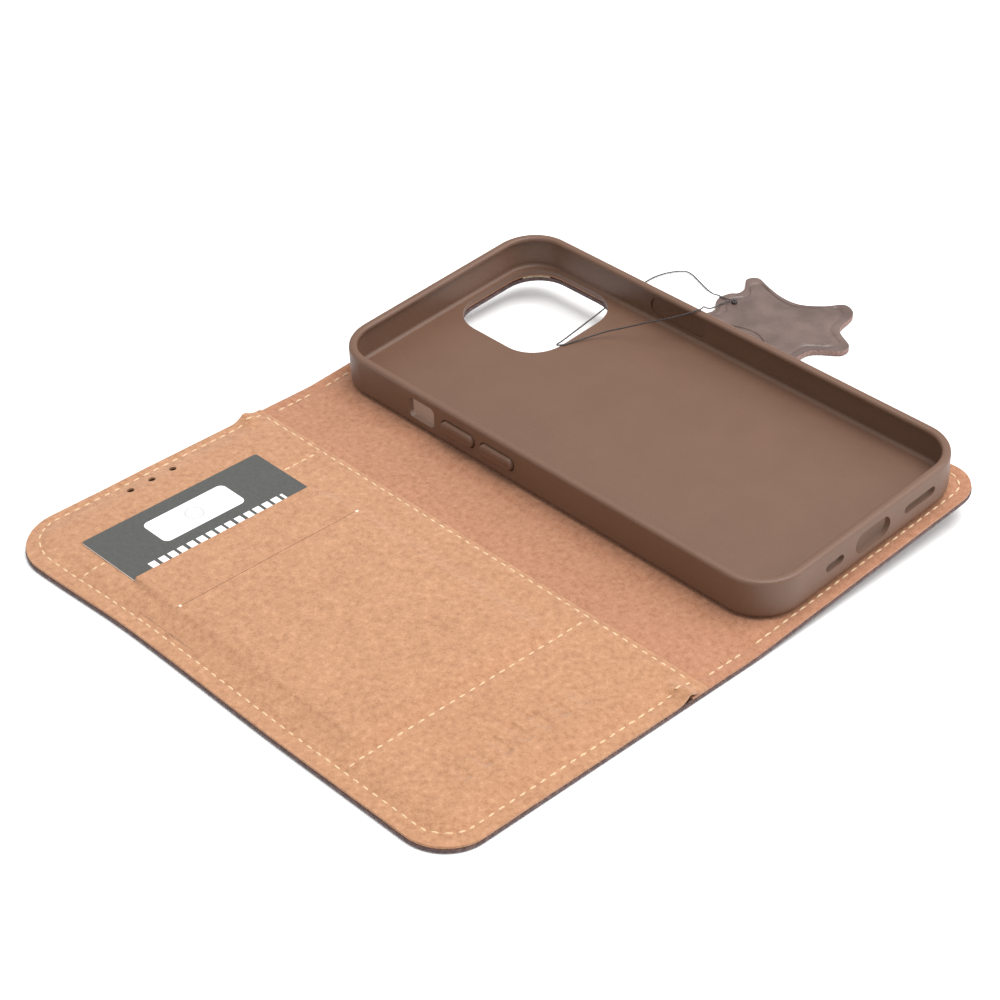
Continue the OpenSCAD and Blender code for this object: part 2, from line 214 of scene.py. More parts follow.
def rounded_through(points, steps):
    """A smooth curve through a list of points, with so many steps between each two."""
    run = [Vector(p) for p in points]
    smooth = []
    for i in range(len(run) - 1):
        a, b, c, d = (run[min(max(i + k, 0), len(run) - 1)] for k in (-1, 0, 1, 2))
        for j in range(steps):
            s = j / steps
            bend = (2 * a - 5 * b + 4 * c - d) * s * s + (3 * b - a - 3 * c + d) * s**3
            smooth.append(0.5 * (2 * b + (c - a) * s + bend))
    return smooth + [run[-1]]


cord_line = [p * MM for p in rounded_through(CORD_ROUTE, 4)]
cord_curve = bpy.data.curves.new("cord", "CURVE")
cord_curve.dimensions = "3D"
cord_curve.bevel_depth = CORD_D / 2
cord_curve.bevel_resolution = 2
cord_curve.use_fill_caps = True
strand = cord_curve.splines.new("POLY")
strand.points.add(len(cord_line) - 1)
for point, co in zip(strand.points, cord_line):
    point.co = (*co, 1)
cord = bpy.data.objects.new("waxed_cord", cord_curve)
bpy.context.collection.objects.link(cord)
bpy.ops.object.select_all(action="DESELECT")
cord.select_set(True)
bpy.context.view_layer.objects.active = cord
bpy.ops.object.convert(target="MESH")
bpy.ops.object.shade_smooth()
WAXED_CORD = material("waxed_cord", waxed_black, roughness=0.5)
cord.data.materials.clear()
cord.data.materials.append(WAXED_CORD)
cord_length = sum((b - a).length for a, b in zip(cord_line, cord_line[1:]))


# The knot that ties the loop: two turns of the cord drawn tight over the tag's hole.
def begin(name):
    """Names the primitive just added, puts its place in its mesh and opens it, nothing selected."""
    piece = bpy.context.active_object
    piece.name = piece.data.name = name
    bpy.ops.object.transform_apply(location=True, rotation=True, scale=True)
    bpy.ops.object.mode_set(mode="EDIT")
    bpy.ops.mesh.select_all(action="DESELECT")
    return piece


def close(piece, paint, angle=40):
    """Leaves edit mode, smooths what is not an edge, and gives the piece its material."""
    bpy.ops.object.mode_set(mode="OBJECT")
    bpy.ops.object.select_all(action="DESELECT")
    piece.select_set(True)
    bpy.context.view_layer.objects.active = piece
    bpy.ops.object.shade_smooth_by_angle(angle=math.radians(angle))
    if paint:
        piece.data.materials.clear()
        piece.data.materials.append(paint)
    return piece


def joined(name, pieces):
    bpy.ops.object.select_all(action="DESELECT")
    for piece in pieces:
        piece.select_set(True)
    bpy.context.view_layer.objects.active = pieces[0]
    bpy.ops.object.join()
    pieces[0].name = pieces[0].data.name = name
    return pieces[0]


low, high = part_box("tag_knot")
knot_place = (low + high) / 2
turns = []
for tilt, spin, ring in ((0.5, 0.3, 0.72), (-0.7, 1.4, 0.66), (1.3, 2.3, 0.6)):
    bpy.ops.object.select_all(action="DESELECT")
    bpy.ops.mesh.primitive_torus_add(
        major_radius=ring * MM, minor_radius=0.3 * MM, major_segments=20, minor_segments=8,
        location=knot_place, rotation=(tilt, 0.2, spin),
    )
    turns.append(close(begin("turn"), WAXED_CORD))
bpy.ops.object.select_all(action="DESELECT")
bpy.ops.mesh.primitive_ico_sphere_add(subdivisions=3, radius=0.62 * MM, location=knot_place)
turns.append(close(begin("turn"), WAXED_CORD))
knot = joined("cord_knot", turns)
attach(knot, "phone_holder")
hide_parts("tag_knot")


# ---- Hang tag ----
# A hide-shaped piece of smooth taupe leather, cut thick, its border pressed in. It lies on
# the table beside the case.
TAG_HALF = [
    (0, 5), (3.4, 3.9), (5.2, 2.2), (8.4, 2.3), (12.6, 4.8), (15.4, 2.6), (13.1, -2.6),
    (11, -8.6), (11, -14.4), (14.6, -20), (18.8, -23.8), (17.6, -27.4), (14.6, -29), (8.6, -29.6),
    (5.6, -31.4), (2.2, -36.4), (0, -37.2),
]
TAG_TURN = math.radians(6)


def pick(kind, wanted):
    """Selects the corners, edges or faces of the open mesh that wanted() says yes to."""
    bpy.ops.mesh.select_mode(type=kind)
    bpy.ops.mesh.select_all(action="DESELECT")
    mesh = bmesh.from_edit_mesh(bpy.context.edit_object.data)
    mesh.normal_update()
    chosen = {"VERT": mesh.verts, "EDGE": mesh.edges, "FACE": mesh.faces}[kind]
    for part in [p for p in chosen if wanted(p)]:
        part.select_set(True)
    bmesh.update_edit_mesh(bpy.context.edit_object.data)


def smooth_taupe(place):
    cloud = place.grain(7 * MM, 3)
    pores = place.grain(0.5 * MM, 2)
    tone = 0.75 * cloud + 0.25 * pores
    return {
        "Base Color": tone.ramp(0.3, 0.7).tint(linear(82, 64, 58), linear(104, 85, 78)),
        "Roughness": 0.3 + 0.25 * cloud,
        "Bump": (0.5 * cloud + 0.5 * pores, 0.12 * MM),
    }


def cut_edge(place):
    fibre = place.grain(0.5 * MM, 3)
    return {"Base Color": fibre.ramp(0.3, 0.7).tint(linear(112, 86, 80), linear(142, 114, 106))}


tag_low, tag_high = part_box("leather_tag")
half = rounded_through([(x, y, 0) for x, y in TAG_HALF], 4)
outline = half + [Vector((-p.x, p.y, 0)) for p in reversed(half[1:-1])]
turn = Matrix.Rotation(TAG_TURN, 4, "Z")
tag_spot = Vector((knot_place.x, knot_place.y, tag_high.z))
tag_middle = turn @ Vector((0, -14 * MM, 0)) + tag_spot
bpy.ops.object.select_all(action="DESELECT")
bpy.ops.mesh.primitive_circle_add(vertices=len(outline), radius=1, fill_type="NOTHING", location=(0, 0, 0))
tag = begin("hide_tag")
shape = bmesh.from_edit_mesh(tag.data)
around = sorted(shape.verts, key=lambda v: math.atan2(v.co.y, v.co.x))
for vert, p in zip(around, reversed(outline)):
    vert.co = turn @ (p * MM) + tag_spot
bmesh.update_edit_mesh(tag.data)
bpy.ops.mesh.select_all(action="SELECT")
BORDER_RINGS = (
    (0.985, 0), (0.9, 0), (0.985, -0.16), (0.985, -0.12), (0.97, 0), (0.985, 0.12), (0.985, 0.16),
)
FIELD_RINGS = ((0.85, 0), (0.75, 0), (0.6, 0), (0.4, 0))
for shrink, drop in BORDER_RINGS + FIELD_RINGS:
    bpy.ops.mesh.extrude_edges_move(TRANSFORM_OT_translate={"value": (0, 0, drop * MM)})
    bpy.ops.transform.resize(value=(shrink, shrink, 1), center_override=tag_middle)
bpy.ops.mesh.merge(type="COLLAPSE")
bpy.ops.mesh.select_all(action="SELECT")
bpy.ops.mesh.normals_make_consistent(inside=False)
bpy.ops.object.mode_set(mode="OBJECT")


def apply(piece, kind, **settings):
    """Adds a modifier with these settings and applies it."""
    bpy.context.view_layer.objects.active = piece
    worker = piece.modifiers.new(kind.lower(), kind)
    for key, value in settings.items():
        setattr(worker, key, value)
    bpy.ops.object.modifier_apply(modifier=worker.name)


if tag.data.polygons[0].normal.z < 0:
    tag.data.flip_normals()
apply(tag, "SOLIDIFY", thickness=tag_high.z - tag_low.z, offset=-1, use_even_offset=False)
pressed_depth = 0.3 * MM
for vert in tag.data.vertices:
    if vert.co.z < tag_low.z + pressed_depth:
        vert.co.z = tag_low.z
apply(tag, "BEVEL", width=0.25 * MM, segments=2, limit_method="ANGLE", angle_limit=math.radians(60))
close(tag, material("tag_leather", smooth_taupe, specular_ior_level=0.6))
tag.data.materials.append(material("tag_cut_edge", cut_edge, roughness=0.8))
for face in tag.data.polygons:
    face.material_index = int(abs(face.normal.z) < 0.4)
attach(tag, "phone_holder")
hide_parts("leather_tag")

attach(cord, "phone_holder")
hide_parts("tag_cord")


# ---- Outer leather ----
# One dark brown hide wraps both covers and the spine. It bends at two folds, so it is made
# as two lengths that meet in the middle of the spine.
joints = {joint["name"]: joint for joint in frame["record"]["behaviour"]["joints"]}
back_fold_x, _, fold_z = joints["back_fold"]["pos_m"]
front_fold_x = joints["front_fold"]["pos_m"][0]
press = joints["volume_up_press"]["axis"]
lean = math.atan2(press[2], press[0])
half_spine = (back_fold_x - front_fold_x) / 2
low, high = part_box("front_cover_leather")
cover_half = high.y
leather_t = high.z
front_w = front_fold_x - low.x
back_w = (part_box("back_cover_leather")[1].x - back_fold_x - fold_z * math.sin(lean)) / math.cos(lean)
CORNER_R = 9 * MM
EDGE_PULL, END_PULL = 0.9 * MM, 0.8 * MM
FRONT_CORNERS_R = {-1: 12 * MM, 1: 15 * MM}
BEND = 3 * MM
SEAM_IN = 3.2 * MM


def corner_of(side, y):
    """The radius of a cover's corner: the front cover is cut rounder, most at its far corner."""
    return FRONT_CORNERS_R[1 if y > 0 else -1] if side < 0 else CORNER_R


def panel(name, side, width, height, inset_by, rings, u_cuts, y_cuts, inner):
    """A flat sheet from inner, counted outwards from a fold at the origin, to the cover's edge.
    side is -1 for the front cover and 1 for the back, rings are steps in from the edge."""
    bpy.ops.object.select_all(action="DESELECT")
    far = width - inset_by
    near = -40 * MM
    bpy.ops.mesh.primitive_plane_add(size=1, location=(side * (far + near) / 2, 0, height))
    sheet = bpy.context.active_object
    sheet.scale = (far - near, 2 * (cover_half - inset_by), 1)
    begin(name)
    for end in (-1, 1):
        pick("VERT", lambda v: side * v.co.x > far - MM and end * v.co.y > cover_half - MM)
        bpy.ops.mesh.bevel(offset=corner_of(side, end) - inset_by, segments=12, affect="VERTICES")
    for ring in rings:
        pick("FACE", lambda f: f.calc_area() > 0.2 * width * cover_half)
        bpy.ops.mesh.inset(thickness=ring, depth=0)
    cuts = [((side * u, 0, 0), (1, 0, 0)) for u in u_cuts] + [((0, y, 0), (0, 1, 0)) for y in y_cuts]
    for place, normal in cuts:
        bpy.ops.mesh.select_all(action="SELECT")
        bpy.ops.mesh.bisect(plane_co=place, plane_no=normal)
    bpy.ops.mesh.select_all(action="SELECT")
    bpy.ops.mesh.bisect(plane_co=(side * inner, 0, 0), plane_no=(side, 0, 0), clear_inner=True)
    bpy.ops.object.mode_set(mode="OBJECT")
    return sheet


def steps(start, end, size):
    """Values from start to end, both left out, about size apart."""
    count = max(1, round((end - start) / size))
    return [start + (end - start) * i / count for i in range(1, count)]


def eased(value, low, high):
    """0 below low, 1 above high, and smooth between."""
    s = min(max((value - low) / (high - low), 0), 1)
    return s * s * (3 - 2 * s)


def edge_depth(x, y, half_x, half_y, corner):
    """How far a point lies inside a rectangle with round corners."""
    over_x, over_y = x - (half_x - corner), abs(y) - (half_y - corner)
    if over_x > 0 and over_y > 0:
        return corner - math.hypot(over_x, over_y)
    return min(half_x - x, half_y - abs(y))


def cover_depth(side, u, y):
    """How far a point of a cover lies in from its cut edge."""
    return edge_depth(u, y, front_w if side < 0 else back_w, cover_half, corner_of(side, y))


def beside_edge(distance):
    """1 as far in from an edge as the sewing pulls on the cover, 0 in its middle."""
    return 1 - eased(distance, 6 * MM, 16 * MM)


def on_front(co):
    """From a sheet drawn flat, with its fold at the origin, to the front cover's place. The
    cover was cut by hand: its outer edge bows in, most of all between its middle and far end."""
    u = -co.x
    widest, far_end = 28 * MM, 66 * MM
    bow = 0.7 * MM + 0.95 * MM * eased(co.y, -30 * MM, widest) - 1.4 * MM * eased(co.y, widest, far_end)
    sewn = eased(cover_depth(-1, u, co.y), 0, SEAM_IN)
    x = co.x + bow * eased(u, front_w - 20.6 * MM, front_w)
    x += EDGE_PULL * sewn * beside_edge(front_w - u)
    y = co.y - 0.3 * MM * eased(u, 30 * MM, 60 * MM) * eased(co.y, 60 * MM, cover_half)
    y += END_PULL * sewn * beside_edge(cover_half - abs(co.y))
    return Vector((x + front_fold_x, y, co.z))


def on_back(co):
    """The same for the back cover, which leans up past its fold along a soft bend."""
    s = min(max((co.x + BEND) / (2 * BEND), 0), 1)
    angle = lean * s * s * (3 - 2 * s)
    run = min(co.x, -BEND)
    rise = 0
    if co.x > -BEND:
        along = min(co.x, BEND)
        turned = lean * 2 * BEND * (s**3 - s**4 / 2)
        run += along + BEND
        rise = turned
    if co.x > BEND:
        run += (co.x - BEND) * math.cos(lean)
        rise += (co.x - BEND) * math.sin(lean)
    height = co.z - fold_z
    return Vector((
        back_fold_x + run - height * math.sin(angle), co.y, fold_z + rise + height * math.cos(angle),
    ))


def move(piece, place):
    for vert in piece.data.vertices:
        vert.co = place(vert.co)


GRAIN_SIZE = MM / 0.9


def grained_brown(place):
    cell_size = {"Vector": place, "Scale": 1 / GRAIN_SIZE}
    cells = place.node("ShaderNodeTexVoronoi", {"feature": "DISTANCE_TO_EDGE"}, cell_size)
    cloud = place.grain(9 * MM, 3)
    folds = cells.ramp(0.0, 0.12)
    tone = 0.6 * cloud + 0.4 * folds
    return {
        "Base Color": tone.ramp(0.25, 0.8).tint(linear(54, 34, 28), linear(88, 61, 50)),
        "Roughness": 0.42 + 0.2 * (1 - folds),
        "Bump": (folds + 0.4 * cloud, 0.12 * MM),
    }


def painted_edge(place):
    wear = place.grain(1.2 * MM, 4, 0.6)
    return {
        "Base Color": wear.ramp(0.35, 0.75).tint(linear(62, 40, 40), linear(104, 76, 73)),
        "Bump": (wear, 0.25 * MM),
    }


BROWN_LEATHER = material("brown_leather", grained_brown)
LEATHER_EDGE = material("painted_leather_edge", painted_edge, roughness=0.6)


# The phone camera's hole goes through the hide, the lining and the tray at one place.
TRAY_MID = 43.2 * MM
HOLE_MID = (17.9 * MM, 55.1 * MM)
HOLE_SIZE = 33.4 * MM
HOLE_R = 10 * MM
HOLE_STEP = 0.8 * MM
GROOVE = 0.27 * MM


def rounded_block(name, low, high, axis, radius, segments=8):
    """A block between two corners, its edges along one axis made round; it is left open."""
    bpy.ops.object.select_all(action="DESELECT")
    low, high = Vector(low), Vector(high)
    bpy.ops.mesh.primitive_cube_add(size=1, location=(low + high) / 2)
    bpy.context.active_object.scale = high - low
    piece = begin(name)
    pick("EDGE", lambda e: abs((e.verts[0].co - e.verts[1].co)[axis]) > 1e-6)
    bpy.ops.mesh.bevel(offset=radius, segments=segments, affect="EDGES")
    return piece


def cut(piece, cutter):
    """Cuts the shape of an open block out of a piece."""
    if bpy.context.mode != "OBJECT":
        bpy.ops.object.mode_set(mode="OBJECT")
    bpy.ops.object.select_all(action="DESELECT")
    piece.select_set(True)
    apply(piece, "BOOLEAN", object=cutter, operation="DIFFERENCE", solver="EXACT")
    bpy.data.objects.remove(cutter)


def hole_cutter(x, z_low, z_high, grow=0):
    reach = HOLE_SIZE / 2 + grow
    low = (x - reach, HOLE_MID[1] - reach, z_low)
    high = (x + reach, HOLE_MID[1] + reach, z_high)
    return rounded_block("cutter", low, high, 2, HOLE_R + grow, 10)


SPEAKER_MID, SPEAKER_PITCH, SPEAKER_Y = 40.9 * MM, 6.6 * MM, 71.4 * MM
SPEAKER_PLACES = [(-SPEAKER_MID - SPEAKER_PITCH * i, SPEAKER_Y) for i in (-1, 0, 1)]


def cut_speaker_holes(piece):
    for x, y in SPEAKER_PLACES:
        bpy.ops.object.select_all(action="DESELECT")
        bpy.ops.mesh.primitive_cylinder_add(vertices=20, radius=MM, depth=9 * MM, location=(x, y, 0))
        cut(piece, begin("cutter"))


LEATHER_RINGS = [0.5 * MM, 2.2 * MM, 0.5 * MM, 0.5 * MM]
for name, side, width, place, fold_x, body, replaced in (
    ("leather_front", -1, front_w, on_front, front_fold_x, "front_cover", ["front_cover_leather"]),
    (
        "leather_back", 1, back_w, on_back, back_fold_x, "phone_holder",
        ["back_cover_leather", "spine_leather"],
    ),
):
    hide = panel(
        name, side, width, leather_t, 0, LEATHER_RINGS,
        [0.5 * MM * k for k in range(-8, 9)] + steps(5 * MM, width - 5 * MM, 6 * MM),
        steps(-cover_half + 5 * MM, cover_half - 5 * MM, 6 * MM), -half_spine - 2 * MM,
    )
    apply(hide, "SOLIDIFY", thickness=leather_t, offset=-1)
    for vert in hide.data.vertices:
        depth = cover_depth(side, side * vert.co.x, vert.co.y)
        if vert.co.z < 0.1 * MM and abs(depth - SEAM_IN) < 0.2 * MM:
            vert.co.z += GROOVE
    apply(hide, "BEVEL", width=0.4 * MM, segments=3, limit_method="ANGLE", angle_limit=math.radians(60))
    bpy.ops.object.mode_set(mode="EDIT")
    bpy.ops.mesh.select_all(action="SELECT")
    bpy.ops.mesh.bisect(
        plane_co=(-side * half_spine, 0, 0), plane_no=(side, 0, 0), clear_inner=True, use_fill=True,
    )
    bpy.ops.object.mode_set(mode="OBJECT")
    if side < 0:
        cut_speaker_holes(hide)
    else:
        cut(hide, hole_cutter(TRAY_MID + HOLE_MID[0], -MM, 3 * MM, HOLE_STEP))
    close(hide, BROWN_LEATHER, 50)
    hide.data.materials.append(LEATHER_EDGE)
    for face in hide.data.polygons:
        face.material_index = int(abs(face.normal.z) < 0.7)
    move(hide, place)
    fold_x - side * BEND
    fold_x + side * BEND
    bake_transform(hide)
    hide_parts(*replaced)


# ---- Boards, foil and backing ----
# A stiff grey-brown board sits between the hide and the lining of each cover. The front one
# also carries a sheet of foil that shields the card, and a thin split behind the pocket.
def pressed_board(place):
    fibre = place.grain(0.6 * MM, 4, 0.7)
    return {
        "Base Color": fibre.ramp(0.3, 0.7).tint(linear(150, 136, 112), linear(186, 172, 146)),
        "Bump": (fibre, 0.1 * MM),
    }


def rolled_foil(place):
    streaks = place.node("ShaderNodeMapping", None, {0: place, "Scale": (1, 12, 1)}).grain(3 * MM, 3)
    return {
        "Base Color": streaks.ramp(0.3, 0.7).tint(linear(196, 198, 202), linear(226, 227, 229)),
        "Roughness": 0.22 + 0.2 * streaks,
    }


def rough_split(place):
    fibre = place.grain(0.9 * MM, 4, 0.65)
    return {
        "Base Color": fibre.ramp(0.3, 0.7).tint(linear(120, 88, 66), linear(160, 122, 96)),
        "Bump": (fibre, 0.15 * MM),
    }


def white_tape(place):
    cloud = place.grain(4 * MM, 3)
    return {"Base Color": cloud.ramp(0.3, 0.7).tint(linear(214, 210, 200), linear(236, 233, 226))}


for names, paint in (
    (("front_board", "back_board"), material("pressed_board", pressed_board, roughness=0.85)),
    (("shield_foil",), material("rolled_foil", rolled_foil, metallic=1.0)),
    (("pocket_backing",), material("rough_split", rough_split, roughness=0.9)),
    (("tray_tape",), material("white_tape", white_tape, roughness=0.6)),
):
    for name in names:
        node = frame["nodes"][name]
        node.data.materials.clear()
        node.data.materials.append(paint)


# ---- Front lining and card pocket ----
# One sheet of peach suede lines the front cover. It is thin at the edge, where it is sewn,
# rises over the boards, and stands up over the card, which slides in at a cut across it.
SUEDE_T = 0.6 * MM
LINING_IN = 0.2 * MM
SHEET_TOP = 2.6 * MM
EDGE_TOP = 1.8 * MM
POCKET_MID, POCKET_HALF = 42.7 * MM, 28 * MM
POCKET_RISE, HUMP_RISE, STITCH_DIP = 1.03 * MM, 1.2 * MM, 0.14 * MM
SLOT_CUT = 0.22 * MM
IDLE_GAP = 0.14 * MM
CARD_SLOT, IDLE_SLOT = 41.3 * MM, 25.4 * MM
UPPER_SEAM, LOWER_SEAM = 52.2 * MM, -42.3 * MM
LIP_U = 1.2 * MM
LIP_SEAM = 2.6 * MM
RINGS = [0.4 * MM, 0.8 * MM, 0.9 * MM, 0.5 * MM, 0.4 * MM, 0.4 * MM, 0.5 * MM] + [0.7 * MM] * 5


def dip(value, seam):
    """A soft valley where stitches pull the suede down."""
    return math.exp(-(((value - seam) / (0.8 * MM)) ** 2))


def rough_lay(co, depth):
    """Suede never lies quite flat: low, wide waves."""
    return depth * (noise.noise(co * 90) + 0.5 * noise.noise(co * 260))


def front_top(co):
    u, y = -co.x, co.y
    depth = cover_depth(-1, u, y)
    over_board = edge_depth(u, y, front_w, cover_half, CORNER_R)
    lip_side = 1 - eased(u, 7 * MM, 11 * MM)
    edge = EDGE_TOP + 0.62 * MM * lip_side
    z = edge + (SHEET_TOP - edge) * eased(over_board, 2.8 * MM, 9 * MM)
    z += HUMP_RISE * math.exp(-(((u - 6.6 * MM) / (1.6 * MM)) ** 2)) * eased(abs(y), 71 * MM, 76 * MM)
    below = CARD_SLOT - y
    if y < CARD_SLOT + 0.05 * MM:
        slope = 0.9 * MM + 3.5 * MM * eased(below, 0, 12 * MM)
        level = POCKET_HALF - 0.9 * MM
        across = 1 - eased(abs(u - POCKET_MID), level, level + slope)
        down = eased(y, LOWER_SEAM + 0.6 * MM, LOWER_SEAM + 4 * MM)
        z += POCKET_RISE * across * down
    z -= STITCH_DIP * dip(depth, SEAM_IN)
    if LIP_SEAM < u < front_w - SEAM_IN:
        z -= STITCH_DIP * dip(y, LOWER_SEAM)
        if abs(u - POCKET_MID) > POCKET_HALF - 0.6 * MM:
            z -= STITCH_DIP * dip(y, UPPER_SEAM)
    z -= 0.18 * MM * dip(u, LIP_SEAM)
    z -= 0.25 * MM * (1 - eased(u, LIP_U, LIP_U + 0.8 * MM))
    return Vector((co.x, y, z + rough_lay(co, 0.07 * MM)))


def within(value, middle, reach, soft=0.08 * MM):
    """1 where a value lies within reach of the middle, 0 outside."""
    distance = (value - middle).maths("ABSOLUTE")
    return 1 - distance.ramp(reach - soft, reach + soft)


def stamped(place):
    """A row of plain bars stamped into the suede near the cover's near end."""
    x = place.node("ShaderNodeSeparateXYZ", None, {0: place}, out=0)
    y = place.node("ShaderNodeSeparateXYZ", None, {0: place}, out=1)
    row_x, row_y, bar_pitch = -51 * MM, -60 * MM, 6 * MM
    row = within(x, row_x, 21 * MM) * within(y, row_y, 3.2 * MM, 0.7 * MM)
    return row * within((x * (1 / bar_pitch)).maths("FRACT"), 0.5, 0.19, 0.13)


def suede(dark, mid, light, nap_depth, mark=None):
    """Napped suede: short fibres lying in small clumps, darker where the nap is brushed back."""
    def paint(place):
        clumps = place.grain(1.5 * MM, 4, 0.6)
        fibres = place.grain(0.5 * MM, 2, 0.5)
        brushed = place.grain(14 * MM, 2)
        tone = 0.66 * clumps + 0.24 * fibres + 0.1 * brushed
        colour = tone.ramp(0.36, 0.51).tint(dark, mid)
        lit = tone.ramp(0.5, 0.68)
        nap = 0.65 * clumps + 0.35 * fibres
        if mark:
            nap = nap - 0.9 * mark(place)
        return {
            "Base Color": lit.node(
                "ShaderNodeMix", {"data_type": "RGBA"}, {0: lit, 6: colour, 7: light}, out=2
            ),
            "Bump": (nap, nap_depth),
        }
    return paint


PEACH_SUEDE = material(
    "peach_suede",
    suede(linear(153, 109, 80), linear(166, 122, 91), linear(181, 137, 105), 0.4 * MM, stamped),
    roughness=0.95, specular_ior_level=0.15, sheen_weight=0.25, sheen_roughness=0.5,
)
FRAYED = material("frayed_suede", lambda place: {
    "Base Color": place.grain(0.4 * MM, 3).tint(linear(188, 158, 136), linear(240, 226, 212)),
}, roughness=0.9)
y_lines = [CARD_SLOT, CARD_SLOT + SLOT_CUT, IDLE_SLOT - IDLE_GAP / 2, IDLE_SLOT + IDLE_GAP / 2]
for seam in (UPPER_SEAM, LOWER_SEAM):
    y_lines += [seam + k * 0.6 * MM for k in (-3, -2, -1, 0, 1, 2, 3)]
u_lines = [LIP_SEAM + k * 0.5 * MM for k in (-2, -1, 0, 1, 2)]
u_lines += [POCKET_MID + s * (POCKET_HALF + k * MM) for s in (-1, 1) for k in (-1.4, -0.9, -0.4, 0, 0.6)]
u_lines += [7.2 * MM + k * MM for k in (-3, -2, -1, 0, 1, 2, 3)]
front_lining = panel(
    "front_lining", -1, front_w, SHEET_TOP, LINING_IN, RINGS,
    u_lines + steps(9 * MM, front_w - 7 * MM, 2.5 * MM),
    y_lines + steps(-cover_half + 7 * MM, cover_half - 7 * MM, 2.5 * MM), LIP_U,
)
bpy.context.view_layer.objects.active = front_lining
bpy.ops.object.mode_set(mode="EDIT")
pick("FACE", lambda f: abs(-f.calc_center_median().x - POCKET_MID) < POCKET_HALF and (
    CARD_SLOT < f.calc_center_median().y < CARD_SLOT + SLOT_CUT
    or abs(f.calc_center_median().y - IDLE_SLOT) < IDLE_GAP / 2
))
bpy.ops.mesh.delete(type="FACE")
bpy.ops.object.mode_set(mode="OBJECT")
move(front_lining, front_top)
apply(front_lining, "SOLIDIFY", thickness=SUEDE_T, offset=-1)
cut_speaker_holes(front_lining)
close(front_lining, PEACH_SUEDE, 55)
for u in (POCKET_MID + 26.5 * MM, POCKET_MID - 28.5 * MM):
    spot = front_top(Vector((-u, IDLE_SLOT, 0)))
    bpy.ops.object.select_all(action="DESELECT")
    bpy.ops.mesh.primitive_ico_sphere_add(subdivisions=2, radius=0.6 * MM, location=spot)
    tuft = begin("frayed_end")
    bpy.ops.mesh.select_all(action="SELECT")
    bpy.ops.transform.resize(value=(1.0, 0.7, 0.3), center_override=spot)
    close(tuft, FRAYED, 60)
    joined("front_lining", [front_lining, tuft])
move(front_lining, on_front)
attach(front_lining, "front_cover")
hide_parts("pocket_sheet")
front_w - LIP_U - LINING_IN


# ---- Spine and back lining ----
# Darker tan suede lines the spine and the back cover. Its front edge is tucked under the
# lip of the pocket sheet, and the tray is taped to the rest.
def spine_top(co):
    depth = cover_half - abs(co.y)
    z = EDGE_TOP - 0.22 * MM * dip(depth, SEAM_IN)
    return Vector((co.x, co.y, z + rough_lay(co, 0.05 * MM) * eased(3 * MM + co.x, 0, 2 * MM)))


def back_top(co):
    depth = cover_depth(1, co.x, co.y)
    flat = min(eased(depth, 3.6 * MM, 7.2 * MM), eased(co.x, 0.5 * MM, 5 * MM))
    z = EDGE_TOP + 0.5 * MM * flat - 0.22 * MM * dip(depth, SEAM_IN)
    return Vector((co.x, co.y, z + rough_lay(co, 0.05 * MM)))


TAN_SUEDE = material(
    "tan_suede", suede(linear(147, 101, 74), linear(160, 113, 86), linear(172, 125, 97), 0.4 * MM),
    roughness=0.95, specular_ior_level=0.15, sheen_weight=0.25, sheen_roughness=0.5,
)
TUCK_END = 6 * MM
bends = [0.5 * MM * k for k in range(-7, 8)]
rows = steps(-cover_half + 7 * MM, cover_half - 7 * MM, 3 * MM)
spine_lining = panel(
    "spine_lining", -1, TUCK_END + 12 * MM, EDGE_TOP, LINING_IN, RINGS, bends, rows, -half_spine,
)
bpy.context.view_layer.objects.active = spine_lining
bpy.ops.object.mode_set(mode="EDIT")
bpy.ops.mesh.select_all(action="SELECT")
bpy.ops.mesh.bisect(plane_co=(-TUCK_END, 0, 0), plane_no=(-1, 0, 0), clear_outer=True)
bpy.ops.object.mode_set(mode="OBJECT")
back_lining = panel(
    "back_lining", 1, back_w, EDGE_TOP, LINING_IN, RINGS,
    bends + steps(4 * MM, back_w - 7 * MM, 3 * MM), rows, -half_spine,
)
for lining, top, place, fold_x, sign, body, replaced, reach, bed in (
    (
        spine_lining, spine_top, on_front, front_fold_x, -1, "front_cover",
        ["spine_lining", "lining_tuck"], TUCK_END, "leather_front",
    ),
    (
        back_lining, back_top, on_back, back_fold_x, 1, "phone_holder",
        ["back_lining"], back_w - LINING_IN, "leather_back",
    ),
):
    move(lining, top)
    apply(lining, "SOLIDIFY", thickness=SUEDE_T, offset=-1)
    if lining is back_lining:
        cut(lining, hole_cutter(TRAY_MID + HOLE_MID[0], 0, 5 * MM, HOLE_STEP))
    close(lining, TAN_SUEDE, 55)
    move(lining, place)
    fold_x - sign * BEND
    fold_x + sign * BEND
    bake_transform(lining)
    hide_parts(*replaced)
    reach + half_spine


# ---- Phone tray ----
# A tray moulded in soft brown plastic grips the phone under its rim. It has holes for the
# camera, the ring switch and the ports, and windows for three keys.
TRAY_W, TRAY_L, TRAY_H = 74.6 * MM, 150 * MM, 10.7 * MM
TRAY_R = 12 * MM
TRAY_Z = 2.6 * MM
FLOOR_T, WALL_T, LIP_REACH = 1.5 * MM, 1.5 * MM, 0.8 * MM
KEY_Z = 5.6 * MM
PORT_H = 5.8 * MM
WALL_LEAN = 0.06


def on_tray(co):
    """From the tray's own place to the back cover. Its soft wall leans out a little at the top,
    to the right and at the far end."""
    sideways = WALL_LEAN * co.z
    endways = sideways * eased(co.y, 30 * MM, 70 * MM)
    return on_back(Vector((TRAY_MID + co.x + sideways, co.y + endways, TRAY_Z + co.z)))


